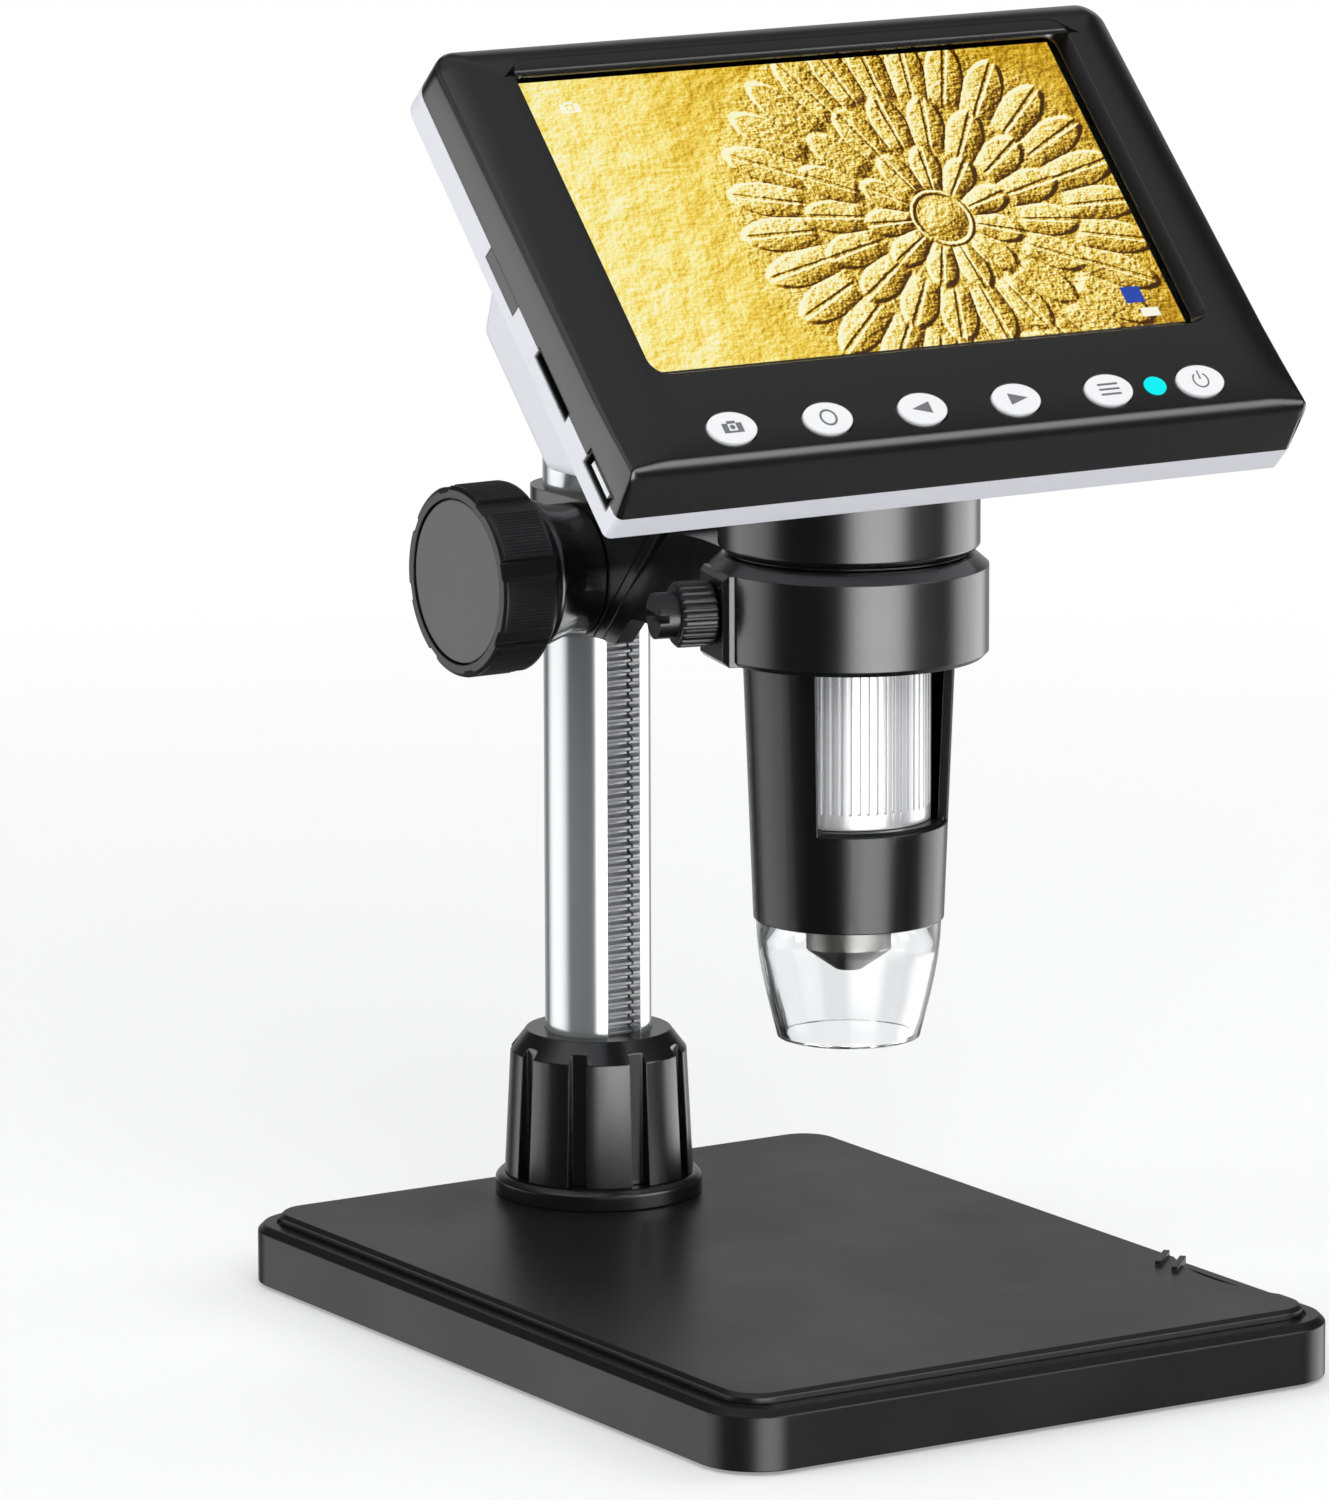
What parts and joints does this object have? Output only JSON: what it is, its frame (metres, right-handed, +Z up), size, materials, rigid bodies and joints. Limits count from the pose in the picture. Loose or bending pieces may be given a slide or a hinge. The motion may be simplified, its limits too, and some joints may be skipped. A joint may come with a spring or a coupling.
{
  "type": "lcd digital microscope",
  "caption": "Digital microscope with a tilted display head on a tapered barrel with clear nose, clamped by an arm to a rack-and-pinion column on a flat rectangular base.",
  "frame": {"origin": "centre of the base on the surface it stands on", "axes": "+X to the user's right, +Y from the display towards the column, +Z up"},
  "size_m": [0.12, 0.1474, 0.2021],
  "materials": {
    "pad_rubber": "matt non-slip sheet",
    "base_plastic": "satin moulded",
    "stage_plastic": "fine satin",
    "weight_steel": "zinc plated plate",
    "screw_steel": "plated",
    "column_chrome": "polished chrome",
    "rack_steel": "milled",
    "gloss_black": "semi gloss",
    "knob_black": "satin with fine knurl",
    "knob_disc": "matt",
    "bush_brass": "turned",
    "clear_nose": "clear acrylic",
    "board_green": "solder mask",
    "ribbon_film": "polyimide film",
    "shell_white": "satin pale",
    "screen_glass": "cover glass",
    "switch_black": "moulded",
    "battery_wrap": "wrap",
    "port_metal": "stamped",
    "button_white": "semi gloss",
    "wheel_silver": "satin silver",
    "cone_metal": "turned",
    "lens_glass": "coated",
    "screen_picture": "lit display picture",
    "lamp_cyan": "lit light pipe",
    "lamp_white": "lit lamp"
  },
  "bodies": {
    "stand": {"grip_pad": "pad_rubber", "base_bottom_cover": "base_plastic", "base_weight": "weight_steel", "base_shell": "base_plastic", "stage_panel": "stage_plastic", "base_screws": "screw_steel", "column_post": "column_chrome", "column_rack": "rack_steel", "column_bolt": "screw_steel", "column_cap": "base_plastic", "collar_flange": "gloss_black", "collar_nut": "gloss_black"},
    "carriage": {"carriage_body": "gloss_black", "carriage_shim": "gloss_black", "arm_ring": "gloss_black", "arm_bolts": "screw_steel", "carriage_hub": "gloss_black", "drag_washer": "screw_steel", "shaft_bushes": "bush_brass"},
    "height_knob": {"knob_body": "knob_black", "knob_insert": "bush_brass", "knob_cap": "knob_disc", "pinion_shaft": "screw_steel", "pinion_gear": "bush_brass", "shaft_retainer": "gloss_black"},
    "clamp_screw": {"thumb_screw": "knob_black"},
    "microscope": {"neck_housing": "gloss_black", "neck_screws": "screw_steel", "barrel_shell": "gloss_black", "nose_cover": "clear_nose", "led_board": "board_green", "led_lamps": "lamp_white", "sensor_board": "board_green", "sensor_ribbon": "ribbon_film", "front_bezel": "gloss_black", "back_cover": "shell_white", "head_screws": "screw_steel", "lcd_window": "screen_glass", "lcd_panel": "screen_picture", "status_led_lens": "lamp_cyan", "key_board": "board_green", "key_switches": "switch_black", "main_board": "board_green", "battery": "battery_wrap", "usb_port": "port_metal", "card_slot": "port_metal"},
    "focus_ring": {"focus_wheel": "wheel_silver"},
    "lens_group": {"lens_cell": "switch_black", "objective_cone": "cone_metal", "objective_lens": "lens_glass"},
    "button_capture_key": {"button_capture": "button_white"},
    "button_confirm_key": {"button_confirm": "button_white"},
    "button_left_key": {"button_left": "button_white"},
    "button_right_key": {"button_right": "button_white"},
    "button_list_key": {"button_list": "button_white"},
    "button_power_key": {"button_power": "button_white"}
  },
  "joints": [
    {"name": "carriage_slide", "type": "slide", "parent": "stand", "child": "carriage", "axis": [0, 0, 1], "range_m": [-0.036, 0.02]},
    {"name": "height_knob_turn", "type": "hinge", "parent": "carriage", "child": "height_knob", "pos_m": [-0.026, 0.0437, 0.114], "axis": [1, 0, 0], "range_deg": [-230, 413.5]},
    {"name": "clamp_screw_turn", "type": "hinge", "parent": "carriage", "child": "clamp_screw", "pos_m": [-0.02426, -0.01295, 0.1167], "axis": [-0.9703, 0.2419, 0], "range_deg": [-360, 360]},
    {"name": "head_swivel", "type": "hinge", "parent": "carriage", "child": "microscope", "pos_m": [0, -0.019, 0.117], "axis": [0, 0, 1], "range_deg": [-90, 90]},
    {"name": "focus_turn", "type": "hinge", "parent": "microscope", "child": "focus_ring", "pos_m": [0, -0.019, 0.098], "axis": [0, 0, 1], "range_deg": [-150, 150]},
    {"name": "lens_slide", "type": "slide", "parent": "microscope", "child": "lens_group", "axis": [0, 0, 1], "range_m": [-0.0026, 0.0026]},
    {"name": "button_capture_press", "type": "slide", "parent": "microscope", "child": "button_capture_key", "axis": [0, 0.7169, -0.6972], "range_m": [0, 0.0005], "stiffness_N_per_m": 300, "springref_m": -0.0005},
    {"name": "button_confirm_press", "type": "slide", "parent": "microscope", "child": "button_confirm_key", "axis": [0, 0.7169, -0.6972], "range_m": [0, 0.0005], "stiffness_N_per_m": 300, "springref_m": -0.0005},
    {"name": "button_left_press", "type": "slide", "parent": "microscope", "child": "button_left_key", "axis": [0, 0.7169, -0.6972], "range_m": [0, 0.0005], "stiffness_N_per_m": 300, "springref_m": -0.0005},
    {"name": "button_right_press", "type": "slide", "parent": "microscope", "child": "button_right_key", "axis": [0, 0.7169, -0.6972], "range_m": [0, 0.0005], "stiffness_N_per_m": 300, "springref_m": -0.0005},
    {"name": "button_list_press", "type": "slide", "parent": "microscope", "child": "button_list_key", "axis": [0, 0.7169, -0.6972], "range_m": [0, 0.0005], "stiffness_N_per_m": 300, "springref_m": -0.0005},
    {"name": "button_power_press", "type": "slide", "parent": "microscope", "child": "button_power_key", "axis": [0, 0.7169, -0.6972], "range_m": [0, 0.0005], "stiffness_N_per_m": 300, "springref_m": -0.0005}
  ],
  "couplings": [
    {"joint": "height_knob_turn", "follows": "carriage_slide", "rad_per_m": -200},
    {"joint": "focus_turn", "follows": "lens_slide", "rad_per_m": 1000}
  ]
}
